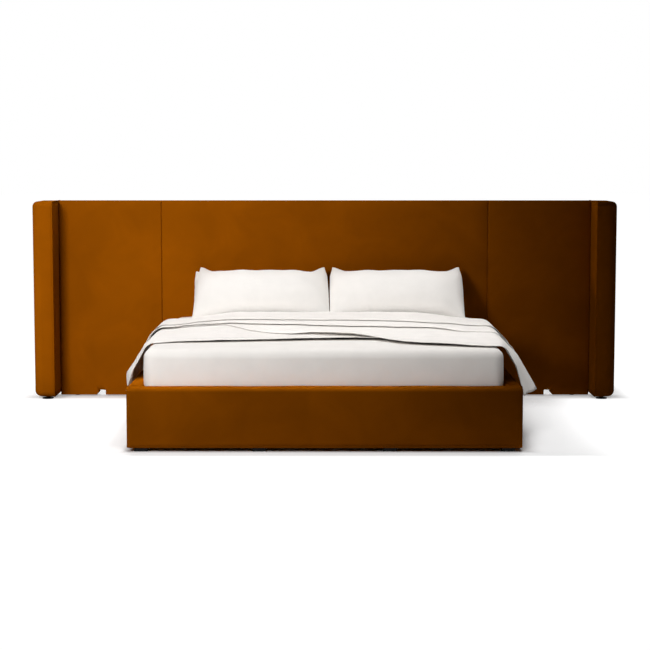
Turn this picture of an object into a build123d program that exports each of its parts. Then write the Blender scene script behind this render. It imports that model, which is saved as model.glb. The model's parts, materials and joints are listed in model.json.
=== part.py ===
from build123d import *
import os
from math import ceil, cos, pi, radians, sin

# Mattress and the room round it, in millimetres
mattress_width = 1930
mattress_length = 2030
mattress_thickness = 210
mattress_bottom = 325
mattress_corner_radius = 60
mattress_edge_radius = 46
mattress_gap = 10
head_gap = 14

# Upholstery that every velvet piece shares
velvet = 2
soft_gap = 0.3
overrun = 5
hole_clearance = 0.1

# Footboard and side rails
rail_thickness = 80
rail_bottom = 21
rail_top = 345
rail_corner_radius = 24
rail_edge_radius = 20
rail_core_thickness = 45
rail_top_foam = 12
flap_clearance = 1.5

# Headboard panels and wings
headboard_height = 1280
panel_reveal = 6
side_panel_width = 669
seam_gap = 0.6
panel_thickness = 86
panel_bottom = 15
panel_edge_radius = 16
panel_foam = 40
panel_board = 12
side_foam = 8
top_foam = 15
batten_width = 60
bay_pitch = 390
back_return = 30
wing_width = 136
wing_reach = 262
wing_bottom = 28
wing_front_radius = 60
wing_back_radius = 42
wing_top_radius = 28
wing_bottom_radius = 36
wing_outer_foam = 25
wing_skin = 9
wing_foot_rail = 80
back_cloth = 1
back_cloth_inset = 12

# Cable notch in the bottom edge of each side panel
notch_center = 1460
notch_width = 46
notch_height = 28
notch_radius = 8
notch_flare = 12

# Join plates and their countersunk bolts, across the seams at the back
plate_thickness = 3
plate_height = 40
plate_margin = 20
plate_height_shares = (0.17, 0.5, 0.83)
join_bolt_radius = 3
join_head_radius = 6
join_bolt_length = 32

# Slats and what carries them
slat_count = 11
slat_width = 100
slat_thickness = 20
slat_clearance = 3
ledger_size = 40
head_rail_thickness = 30
head_rail_bottom = 30
beam_width = 45
beam_height = 90
leg_radius = 25
leg_shares = (0.2, 0.5, 0.8)
leg_spigot_radius = 6
leg_spigot_length = 40

# Brackets, frame bolts and ledger screws
bracket_thickness = 4
bracket_leg = 80
bracket_low = 60
bracket_high = 240
bracket_bolt_share = 2 / 3
bracket_bolt_height_shares = (0.25, 0.75)
beam_bracket_leg = 60
beam_bracket_height = 70
bolt_radius = 4
bolt_head_radius = 8
bolt_head_height = 5
bolt_grip = 36
head_bolt_shares = (0.3, 0.75)
head_bolt_low = 50
head_bolt_high = 260
screw_radius = 2.5
screw_head_radius = 5
screw_length = 70
screw_count = 5

# Feet of the base, and glides under the headboard
foot_length = 70
foot_width = 46
foot_setback = 40
front_foot_share = 0.33
side_foot_shares = (0.5, 0.94)
spigot_radius = 3
spigot_length = 30
glide_radius = 17
glide_inset = 100
foot_chamfer_share = 1 / 8
center_glide_share = 0.33

# Screw leveller under each wing
pad_radius = 37
pad_rim = 6
pad_chamfer_share = 1 / 3
pad_hub_radius = 13
pad_top = 16.5
pad_setback = 160
stem_radius = 5
stem_top = 84
stem_neck_radius = 4
stem_flange_radius = 8
stem_flange_low = 5
stem_flange_height = 3
hex_flat_radius = 8.5
hex_low = 17
hex_high = 24
running_clearance = 0.05
nut_radius = 7.5
nut_flange_radius = 14
nut_flange_height = 3
nut_length = 18

# Sheets, in the order that they lie on the mattress
fitted_thickness = 1.2
fitted_hem = 12
flat_thickness = 3
coverlet_thickness = 8
cloth_pillow_gap = 45
drape_clear = 14
drape_bend = 30
drape_radius = 40
left_hem = 290
right_hem = 250
left_flare = 40
right_flare = 105
left_folds = 4
right_folds = 3
flare_rest_share = 0.3
flare_fade_share = 0.5
cloth_stations = 13
cloth_front = 200
flat_hem_left = 360
flat_hem_right = 520
coverlet_hem_left = 960
coverlet_hem_middle = 760
coverlet_hem_right = 250
coverlet_hem_shares = (0.05, 0.46)

# Pillows
pillow_width = 860
pillow_height = 440
pillow_lean = 45
pillow_edge = 6
pillow_draw = 14
front_pillow_setback = 385
back_pillow_setback = 22
front_pillow_bulge = 138
front_pillow_hollow = 40
back_pillow_front = 30
back_pillow_bulge = 78
left_pillow_center = -408
right_pillow_center = 458
back_pillow_shift = 22
back_pillow_height_share = 0.93
pillow_station_shares = (0, 0.05, 0.16, 0.38, 0.62, 0.84, 0.95, 1)
pillow_bulge_shares = (0, 0.42, 0.8, 1, 1, 0.8, 0.42, 0)
pillow_height_shares = (1, 0.985, 0.96, 0.945, 0.945, 0.96, 0.985, 1)

# Places that follow from the sizes
inner_half = mattress_width / 2 + mattress_gap
base_half = inner_half + rail_thickness
base_depth = rail_thickness + mattress_gap + mattress_length + head_gap
overall_depth = base_depth + panel_thickness + back_cloth + plate_thickness
front_y = -overall_depth / 2
rail_back_y = front_y + rail_thickness
face_y = front_y + base_depth
panel_back_y = face_y + panel_thickness
cloth_back_y = panel_back_y + back_cloth
core_inner_x = inner_half + velvet
core_inner_y = rail_back_y - velvet
slat_top = mattress_bottom - soft_gap
slat_bottom = slat_top - slat_thickness
flap_bottom = slat_bottom + flap_clearance
head_rail_y = face_y - head_rail_thickness
mattress_y = rail_back_y + mattress_gap
mattress_top = mattress_bottom + mattress_thickness
pillow_y = mattress_y + mattress_length - front_pillow_setback
cloth_front_y = front_y + cloth_front
cloth_head_y = pillow_y - cloth_pillow_gap
center_half = base_half + panel_reveal
side_inner_x = center_half + seam_gap
side_outer_x = side_inner_x + side_panel_width
wing_inner_x = side_outer_x + seam_gap
wing_outer_x = wing_inner_x + wing_width
wing_front_y = face_y - wing_reach
wing_center_x = (wing_inner_x + wing_outer_x) / 2
batten_y = face_y + velvet + panel_foam + panel_board
bolt_inset = velvet + side_foam + batten_width / 2
leveller_y = wing_front_y + pad_setback
glide_y = (batten_y + panel_back_y - velvet) / 2


def block(x, y, z):
    """A box over three spans, each a low and a high place."""
    size = [high - low for low, high in (x, y, z)]
    return Pos(x[0], y[0], z[0]) * Box(*size, align=(Align.MIN, Align.MIN, Align.MIN))


def grown(span, by):
    """A span that reaches further by the same length at both ends, or less far."""
    return (span[0] - by, span[1] + by)


def rod(radius, start, axis, length):
    """A round bar from start along axis."""
    return extrude(Plane(origin=start, z_dir=axis) * Circle(radius), amount=length)


def group(pieces):
    """Separate solids that share one node."""
    return Compound(children=[solid for piece in pieces for solid in piece.solids()])


def left(piece):
    """The same piece on the other side of the bed."""
    return mirror(piece, about=Plane.YZ)


def both_sides(pieces):
    return list(pieces) + [left(piece) for piece in pieces]


# Fasteners: each is a bar with a head, and cuts its own hole with a little room
def bolt(start, axis, length, room=0):
    """A round-headed frame bolt whose head stands on the face at start."""
    shank = rod(bolt_radius + room, start, axis, length + room)
    head = rod(bolt_head_radius, start, Vector(*axis) * -1, bolt_head_height)
    return shank if room else shank + head


def countersunk(start, axis, length, radius, head_radius, room=0):
    """A bolt or screw whose flat head lies flush with the face at start."""
    cone_height = head_radius - radius
    place = Plane(origin=start, z_dir=axis).location
    centred = (Align.CENTER, Align.CENTER, Align.MIN)
    cone = place * Cone(head_radius + room, radius + room, cone_height, align=centred)
    return rod(radius + room, start, axis, length + room) + cone


def join_bolt(x, z, room=0):
    start = (x, cloth_back_y + plate_thickness, z)
    return countersunk(start, (0, -1, 0), join_bolt_length, join_bolt_radius, join_head_radius, room)


def join_places():
    """The seam and height of each plate on the right, and where its two bolts stand."""
    for seam in (center_half + seam_gap / 2, side_outer_x + seam_gap / 2):
        for share in plate_height_shares:
            z = share * headboard_height
            yield seam, z, (seam - bolt_inset, seam + bolt_inset)


def join_bolts(room=0):
    bolts = [join_bolt(x, z, room) for _, z, places in join_places() for x in places]
    return both_sides(bolts)


def join_plates():
    reach = bolt_inset + plate_margin
    y = (cloth_back_y, cloth_back_y + plate_thickness)
    plates = []
    for seam, z, _ in join_places():
        half = plate_height / 2
        plates.append(block((seam - reach, seam + reach), y, (z - half, z + half)))
    holes = join_bolts(hole_clearance)
    return [plate - holes for plate in both_sides(plates)]


def head_bolts(room=0):
    """Bolts from the head rail into the centre panel's frame."""
    length = panel_back_y - velvet - head_rail_y - overrun
    bolts = []
    for share in head_bolt_shares:
        for z in (head_bolt_low, head_bolt_high):
            bolts.append(bolt((share * inner_half, head_rail_y, z), (0, 1, 0), length, room))
    return both_sides(bolts)


def bracket_bolts(room=0):
    """Bolts through both legs of each corner bracket and beam bracket."""
    reach = bracket_leg * bracket_bolt_share
    corner_x = core_inner_x - bracket_thickness
    foot_y = core_inner_y + bracket_thickness
    head_y = head_rail_y - bracket_thickness
    head_length = bracket_thickness + head_rail_thickness - overrun
    bolts = []
    for share in bracket_bolt_height_shares:
        z = bracket_low + share * (bracket_high - bracket_low)
        bolts.append(bolt((core_inner_x - reach, foot_y, z), (0, -1, 0), bolt_grip, room))
        bolts.append(bolt((core_inner_x - reach, head_y, z), (0, 1, 0), head_length, room))
        bolts.append(bolt((corner_x, core_inner_y + reach, z), (1, 0, 0), bolt_grip, room))
        bolts.append(bolt((corner_x, head_rail_y - reach, z), (1, 0, 0), bolt_grip, room))
    beam_reach = beam_bracket_leg * bracket_bolt_share
    beam_z = slat_bottom - beam_height / 2
    beam_x = beam_width / 2
    side_x = beam_x + bracket_thickness
    beam_length = bracket_thickness + beam_width - overrun
    single = [
        bolt((beam_x + beam_reach, foot_y, beam_z), (0, -1, 0), bolt_grip, room),
        bolt((beam_x + beam_reach, head_y, beam_z), (0, 1, 0), head_length, room),
        bolt((side_x, core_inner_y + beam_reach, beam_z), (-1, 0, 0), beam_length, room),
        bolt((side_x, head_rail_y - beam_reach, beam_z), (-1, 0, 0), beam_length, room),
    ]
    return both_sides(bolts) + single


def ledger_screws(room=0):
    """Screws through each ledger into its rail's core."""
    x = core_inner_x - ledger_size
    z = slat_bottom - ledger_size / 2
    pitch = (head_rail_y - core_inner_y) / screw_count
    screws = []
    for i in range(screw_count):
        y = core_inner_y + (i + 1 / 2) * pitch
        screws.append(countersunk((x, y, z), (1, 0, 0), screw_length, screw_radius, screw_head_radius, room))
    return both_sides(screws)


# Headboard panels
def notch(grow=0):
    """The cable notch's space through the right side panel, or the space grown round it."""
    half = notch_width / 2 + grow
    low = panel_bottom - overrun
    mouth = panel_bottom + notch_flare
    top = panel_bottom + notch_height + grow
    x = notch_center
    points = [
        (x - half, low),
        (x - half, top),
        (x + half, top),
        (x + half, mouth + grow),
        (x + half + notch_flare, panel_bottom + grow),
        (x + half + notch_flare, low),
    ]
    radii = [0, notch_radius, notch_radius, notch_radius, 0, 0]
    outline = make_face(FilletPolyline(*points, radius=radii, close=True))
    section = Plane(origin=(0, face_y - overrun, 0), x_dir=(1, 0, 0), z_dir=(0, -1, 0)) * outline
    return extrude(section, amount=-(panel_thickness + 2 * overrun))


def panel_form(x, inset=0):
    """A panel's outer shape, or the one that lies inset under it: soft all round its front."""
    z = (panel_bottom, headboard_height)
    body = block(grown(x, -inset), grown((face_y, panel_back_y), -inset), grown(z, -inset))
    return fillet(body.edges().group_by(Axis.Y)[0], panel_edge_radius - inset)


def panel_frame(x):
    """A board on battens with bays between them, and the whole space that they fill."""
    x = grown(x, -velvet - side_foam)
    z = (panel_bottom + velvet, headboard_height - velvet - top_foam)
    space = block(x, (batten_y - panel_board, panel_back_y - velvet), z)
    board = block(x, (batten_y - panel_board, batten_y), z)
    frame = block(x, (batten_y, panel_back_y - velvet), z)
    count = ceil((x[1] - x[0] - batten_width) / bay_pitch)
    pitch = (x[1] - x[0] - batten_width) / count
    middle = head_bolt_high
    rows = (
        (z[0] + batten_width, middle - batten_width / 2),
        (middle + batten_width / 2, z[1] - batten_width),
    )
    for i in range(count):
        bay = (x[0] + i * pitch + batten_width, x[0] + (i + 1) * pitch)
        for row in rows:
            frame -= block(bay, (batten_y, panel_back_y), row)
    return space, [board, frame]


def upholstered_panel(x, notches):
    """The core, foam and cover of one panel, with any cable notches through them."""
    inner = panel_form(x, velvet)
    outer = panel_form(x)
    for hole, lined in notches:
        inner -= lined
        outer -= hole
    space, pieces = panel_frame(x)
    core = [piece & inner for piece in pieces]
    opening = block(
        grown(x, -back_return),
        (panel_back_y - velvet, panel_back_y + overrun),
        (panel_bottom + notch_height + back_return, headboard_height - back_return),
    )
    return core, inner - space, outer - inner - opening


def back_sheet(x, bottom):
    """The cloth that closes one section's back."""
    z = (bottom, headboard_height - back_cloth_inset)
    return block(grown(x, -back_cloth_inset), (panel_back_y, cloth_back_y), z)


def glide(x, y, top):
    """A plain foot with a spigot that is driven into the timber above it."""
    pad = rod(glide_radius, (x, y, 0), (0, 0, 1), top)
    pad = chamfer(pad.edges().group_by(Axis.Z)[0], glide_radius * foot_chamfer_share)
    return pad + spigot(x, y, top)


def spigot(x, y, top, room=0):
    return rod(spigot_radius + room, (x, y, top - overrun), (0, 0, 1), overrun + spigot_length + room)


def glide_places():
    """Where the headboard's glides stand on the right: two or so under each panel."""
    return (
        center_glide_share * center_half,
        center_half - glide_inset,
        side_inner_x + glide_inset,
        side_outer_x - glide_inset,
    )


# Wings
def wing_form(inset=0):
    """The right wing's outer shape, or the one that lies inset under it."""
    x = (wing_inner_x, wing_outer_x)
    y = (wing_front_y, panel_back_y)
    z = (wing_bottom, headboard_height)
    body = block(grown(x, -inset), grown(y, -inset), grown(z, -inset))
    uprights = body.edges().filter_by(Axis.Z).group_by(Axis.X)[-1].sort_by(Axis.Y)
    body = fillet(uprights[0], wing_front_radius - inset)
    uprights = body.edges().filter_by(Axis.Z).group_by(Axis.X)[-1].sort_by(Axis.Y)
    body = fillet(uprights[-1], wing_back_radius - inset)
    top = outer_rim(body.faces().sort_by(Axis.Z)[-1], inset)
    body = fillet(top, wing_top_radius - inset)
    bottom = outer_rim(body.faces().sort_by(Axis.Z)[0], inset)
    return fillet(bottom, wing_bottom_radius - inset)


def outer_rim(face, inset):
    """The edges of a wing's end face, but for those on its inner side and its back."""
    inner = wing_inner_x + inset
    back = panel_back_y - inset
    sides = face.edges().filter_by(lambda edge: edge.center().X > inner + velvet)
    return sides.filter_by(lambda edge: edge.center().Y < back - velvet)


def wing_frame():
    """A ladder of posts and rails between two skins, and the whole space that they fill."""
    x = (wing_inner_x + velvet + side_foam, wing_outer_x - velvet - wing_outer_foam)
    y = (wing_front_y + velvet + panel_foam, panel_back_y - velvet)
    z = (wing_bottom + velvet, headboard_height - velvet - wing_outer_foam)
    ladder = block(grown(x, -wing_skin), y, z)
    middle = (z[0] + z[1]) / 2
    rows = (
        (z[0] + wing_foot_rail, middle - batten_width / 2),
        (middle + batten_width / 2, z[1] - batten_width),
    )
    for row in rows:
        ladder -= block(grown(x, -wing_skin), grown(y, -batten_width), row)
    skins = [block((x[0], x[0] + wing_skin), y, z), block((x[1] - wing_skin, x[1]), y, z)]
    return block(x, y, z), [ladder] + skins


def upholstered_wing():
    inner = wing_form(velvet)
    space, pieces = wing_frame()
    core = [piece & inner for piece in pieces]
    opening = block(
        grown((wing_inner_x, wing_outer_x), -back_return),
        (panel_back_y - velvet, panel_back_y + overrun),
        grown((wing_bottom, headboard_height), -back_return - wing_top_radius),
    )
    return core, inner - space, wing_form() - inner - opening


# Screw leveller under the right wing
def leveller_stem(room=0):
    """Threaded stem with a hexagon to turn it by, and a flange held in the pad."""
    here = (wing_center_x, leveller_y)
    flange = rod(
        stem_flange_radius + room,
        (*here, stem_flange_low - room),
        (0, 0, 1),
        stem_flange_height + 2 * room,
    )
    neck = rod(stem_neck_radius + room, (*here, stem_flange_low), (0, 0, 1), hex_low - stem_flange_low)
    hexagon = RegularPolygon(hex_flat_radius, 6, major_radius=False)
    grip = extrude(Pos(*here, hex_low) * hexagon, amount=hex_high - hex_low)
    shank = rod(stem_radius, (*here, hex_high), (0, 0, 1), stem_top - hex_high)
    return flange + neck + grip + shank


def leveller_pad():
    """A round pad whose hub holds the stem's flange, and lets it turn."""
    here = (wing_center_x, leveller_y)
    rim = rod(pad_radius, (*here, 0), (0, 0, 1), pad_rim)
    rim = chamfer(rim.edges().group_by(Axis.Z)[-1], pad_rim * pad_chamfer_share)
    hub = rod(pad_hub_radius, (*here, 0), (0, 0, 1), pad_top)
    return rim + hub - leveller_stem(running_clearance)


def leveller_nut():
    """The insert nut, let into the core's underside, that the stem runs in."""
    start = (wing_center_x, leveller_y, wing_bottom + velvet)
    flange = rod(nut_flange_radius, start, (0, 0, 1), nut_flange_height)
    barrel = rod(nut_radius, start, (0, 0, 1), nut_length)
    return flange + barrel - rod(stem_radius + running_clearance, start, (0, 0, 1), nut_length)


def leveller_hole():
    """The room for the nut and the stem in the wing's cover and core."""
    start = (wing_center_x, leveller_y, wing_bottom + velvet)
    mouth = (wing_center_x, leveller_y, wing_bottom - overrun)
    up = (0, 0, 1)
    nut = rod(nut_flange_radius, start, up, nut_flange_height) + rod(nut_radius, start, up, nut_length)
    return nut + rod(stem_radius + soft_gap, mouth, up, stem_top - wing_bottom + 2 * overrun)


# Base
def footboard_form(inset=0):
    """The footboard's outer shape, or the one that lies inset under it."""
    x = (-base_half, base_half)
    y = (front_y, rail_back_y)
    z = (rail_bottom, rail_top)
    body = block(grown(x, -inset), grown(y, -inset), grown(z, -inset))
    body = fillet(body.edges().filter_by(Axis.Z).group_by(Axis.Y)[0], rail_corner_radius - inset)
    return fillet(body.edges().group_by(Axis.Z)[-1], rail_edge_radius - inset)


def rail_form(inset=0):
    """The right rail's outer shape, which ends square, or the one that lies inset under it."""
    x = grown((inner_half, base_half), -inset)
    body = block(x, (rail_back_y, face_y), grown((rail_bottom, rail_top), -inset))
    edges = body.edges().group_by(Axis.Z)[-1].filter_by(Axis.Y)
    return fillet(edges, rail_edge_radius - inset)


def upholstered_footboard():
    """Core, foam and cover. The core's inner face is bare below the cover's flap."""
    inner = footboard_form(velvet)
    core_half = base_half - velvet - (rail_thickness - 2 * velvet - rail_core_thickness)
    core = block(
        (-core_half, core_half),
        (core_inner_y - rail_core_thickness, core_inner_y),
        (rail_bottom + velvet, rail_top - velvet - rail_top_foam),
    )
    core = core & inner
    opening = block(
        (-core_inner_x, core_inner_x),
        (core_inner_y, rail_back_y + overrun),
        (rail_bottom - overrun, flap_bottom),
    )
    return core, inner - core, footboard_form() - inner - opening


def upholstered_rail():
    inner = rail_form(velvet)
    core = block(
        (core_inner_x, core_inner_x + rail_core_thickness),
        (rail_back_y, face_y),
        (rail_bottom + velvet, rail_top - velvet - rail_top_foam),
    )
    core = core & inner
    opening = block(
        (inner_half - overrun, core_inner_x),
        (rail_back_y - overrun, face_y + overrun),
        (rail_bottom - overrun, flap_bottom),
    )
    return core, inner - core, rail_form() - inner - opening


def corner_bracket(corner, reach_x, reach_y, height):
    """An angle plate: one leg along X and one along Y from the corner, each a signed length."""
    x, y = corner
    side_x = x + bracket_thickness * (1 if reach_x > 0 else -1)
    side_y = y + bracket_thickness * (1 if reach_y > 0 else -1)
    along_x = block(sorted((x, x + reach_x)), sorted((y, side_y)), height)
    along_y = block(sorted((x, side_x)), sorted((y, y + reach_y)), height)
    return along_x + along_y


def brackets():
    corner_z = (bracket_low, bracket_high)
    beam_middle = slat_bottom - beam_height / 2
    beam_z = (beam_middle - beam_bracket_height / 2, beam_middle + beam_bracket_height / 2)
    beam_x = beam_width / 2
    corners = both_sides([
        corner_bracket((core_inner_x, core_inner_y), -bracket_leg, bracket_leg, corner_z),
        corner_bracket((core_inner_x, head_rail_y), -bracket_leg, -bracket_leg, corner_z),
    ])
    beam = [
        corner_bracket((beam_x, core_inner_y), beam_bracket_leg, beam_bracket_leg, beam_z),
        corner_bracket((beam_x, head_rail_y), beam_bracket_leg, -beam_bracket_leg, beam_z),
    ]
    holes = bracket_bolts(hole_clearance)
    return [piece - holes for piece in corners + beam]


def head_rail():
    x = (-core_inner_x, core_inner_x)
    rail = block(x, (head_rail_y, face_y), (head_rail_bottom, slat_bottom))
    return rail - head_bolts(hole_clearance) - bracket_bolts(hole_clearance)


def ledger():
    """The strip along the right rail that the slats' ends lie on."""
    x = (core_inner_x - ledger_size, core_inner_x)
    strip = block(x, (core_inner_y, head_rail_y), (slat_bottom - ledger_size, slat_bottom))
    return strip - ledger_screws(hole_clearance)


def leg_places():
    return [core_inner_y + share * (head_rail_y - core_inner_y) for share in leg_shares]


def center_beam():
    x = (-beam_width / 2, beam_width / 2)
    beam = block(x, (core_inner_y, head_rail_y), (slat_bottom - beam_height, slat_bottom))
    foot = slat_bottom - beam_height
    for y in leg_places():
        beam -= rod(leg_spigot_radius, (0, y, foot), (0, 0, 1), leg_spigot_length)
    return beam - bracket_bolts(hole_clearance)


def center_leg(y):
    top = slat_bottom - beam_height
    post = rod(leg_radius, (0, y, 0), (0, 0, 1), top)
    post = chamfer(post.edges().group_by(Axis.Z)[0], leg_radius * foot_chamfer_share)
    radius = leg_spigot_radius - hole_clearance
    return post + rod(radius, (0, y, top - overrun), (0, 0, 1), overrun + leg_spigot_length - hole_clearance)


def slats():
    """The slats, evenly spaced from the footboard to the head rail."""
    half = inner_half - slat_clearance
    room = head_rail_y - rail_back_y - slat_count * slat_width
    pitch = slat_width + room / (slat_count + 1)
    for i in range(slat_count):
        y = rail_back_y + pitch - slat_width + i * pitch
        yield block((-half, half), (y, y + slat_width), (slat_bottom, slat_top))


def foot_places():
    """Where the base's feet stand on the right, and whether each runs along X."""
    front = front_y + rail_thickness / 2
    side = base_half - rail_thickness / 2
    places = [
        (base_half - foot_setback - foot_length / 2, front, True),
        (front_foot_share * base_half, front, True),
    ]
    for share in side_foot_shares:
        places.append((side, rail_back_y + share * (face_y - rail_back_y), False))
    return places


def base_foot(x, y, along_x):
    size = (foot_length, foot_width) if along_x else (foot_width, foot_length)
    half_x, half_y = size[0] / 2, size[1] / 2
    pad = block((x - half_x, x + half_x), (y - half_y, y + half_y), (0, rail_bottom))
    return pad + spigot(x, y, rail_bottom)


def spigots(room):
    """The holes for the spigots of every foot and glide."""
    base = [spigot(x, y, rail_bottom, room) for x, y, _ in foot_places()]
    headboard = [spigot(x, glide_y, panel_bottom, room) for x in glide_places()]
    return both_sides(base), both_sides(headboard)


# Bedding
def mattress_form(grow=0):
    """The mattress, or the shape that lies a little over it."""
    half = mattress_width / 2
    body = block(
        grown((-half, half), grow),
        grown((mattress_y, mattress_y + mattress_length), grow),
        grown((mattress_bottom, mattress_top), grow),
    )
    body = fillet(body.edges().filter_by(Axis.Z), mattress_corner_radius + grow)
    rims = body.edges().group_by(Axis.Z)
    return fillet(rims[0] + rims[-1], mattress_edge_radius + grow)


def fitted_sheet():
    """A thin skin over the mattress, whose hem lies under its lower edge."""
    skin = mattress_form(soft_gap + fitted_thickness) - mattress_form(soft_gap)
    half = base_half
    below = (mattress_bottom - overrun, mattress_bottom + fitted_hem)
    return skin - block((-half, half), (front_y, face_y), below)


def cloth_section(y, low, thickness, left_out, right_out):
    """A sheet across the bed at y: over the mattress and, like a tent, over both rails."""
    outer, inner = [], []
    sides = ((-1, left_out, left_hem), (1, right_out, right_hem))
    for side, out, hem in sides:
        rows = []
        for offset in (low + thickness, low):
            edge_x = mattress_width / 2 + offset
            bend_x = base_half + drape_clear + offset
            bend_z = rail_top + drape_bend + offset
            edge = (side * edge_x, mattress_top + offset)
            bend = (side * bend_x, bend_z)
            end = (side * (bend_x + out), hem)
            rows.append([end, bend, edge] if side < 0 else [edge, bend, end])
        outer += rows[0]
        inner += rows[1]
    edge_outer = mattress_edge_radius + low + thickness
    edge_inner = mattress_edge_radius + low
    radii_outer = [0, drape_radius, edge_outer, edge_outer, drape_radius, 0]
    radii_inner = [0, drape_radius, edge_inner, edge_inner, drape_radius, 0]
    outline = FilletPolyline(*outer, *reversed(inner), radius=radii_outer + radii_inner, close=True)
    return Plane(origin=(0, y, 0), x_dir=(1, 0, 0), z_dir=(0, -1, 0)) * make_face(outline)


def flare(share, reach, folds):
    """How far a hanging side stands out at a share of its length: folds that fade to the head."""
    wave = (1 - cos(2 * pi * folds * share)) / 2
    wave = flare_rest_share + (1 - flare_rest_share) * wave
    return reach * wave * (1 - flare_fade_share * share)


def cloth(low, thickness, hem):
    """A hanging sheet with its main folds, cut along its front hem."""
    sections = []
    for i in range(cloth_stations):
        share = i / (cloth_stations - 1)
        y = cloth_front_y + share * (cloth_head_y - cloth_front_y)
        left_out = flare(share, left_flare, left_folds)
        right_out = flare(share, right_flare, right_folds)
        sections.append(cloth_section(y, low, thickness, left_out, right_out))
    sheet = loft(sections, ruled=True)
    side = base_half + 2 * right_flare
    front = cloth_front_y - overrun
    points = [(-side, front), *hem(side), (side, front)]
    cut = extrude(make_face(Polyline(*points, close=True)), amount=headboard_height)
    return sheet - cut


def flat_hem(side):
    return [(-side, front_y + flat_hem_left), (side, front_y + flat_hem_right)]


def coverlet_hem(side):
    first, second = (share * side for share in coverlet_hem_shares)
    return [
        (-side, front_y + coverlet_hem_left),
        (first, front_y + coverlet_hem_middle),
        (second, front_y + coverlet_hem_right),
        (side, front_y + coverlet_hem_right),
    ]


def pillow(center_x, setback, front_bulge, back_bulge, height_share=1):
    """A pillow that leans back: two faces that arch from seam to seam, with sides drawn in between the ears."""
    lean = radians(pillow_lean)
    along = Vector(0, cos(lean), sin(lean))
    out = Vector(0, -sin(lean), cos(lean))
    top = mattress_top + soft_gap + fitted_thickness + soft_gap
    foot = Vector(0, pillow_y + setback, top)
    length = pillow_height * height_share
    sections = []
    for share, bulge, height in zip(pillow_station_shares, pillow_bulge_shares, pillow_height_shares):
        shift = Vector(center_x + (share - 1 / 2) * pillow_width, 0, 0)
        inset = (1 - height) / 2 * length
        low = foot + shift + along * inset
        high = foot + shift + along * (length - inset)
        middle = (low + high) * (1 / 2)
        front = middle + out * (front_bulge * bulge + pillow_edge / 2)
        back = middle + out * (back_bulge * bulge - pillow_edge / 2)
        faces = [ThreePointArc(low, front, high), ThreePointArc(high, back, low)]
        sections.append(make_face(faces))
    middle = foot + along * (length / 2)
    radius = (length**2 / 4 + pillow_draw**2) / (2 * pillow_draw)
    reach = pillow_width / 2 - pillow_draw + radius
    cushion = loft(sections)
    for side in (-1, 1):
        start = middle + Vector(center_x + side * reach, 0, 0) - out * pillow_height
        cushion -= rod(radius, start, out, 2 * pillow_height)
    return cushion


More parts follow.
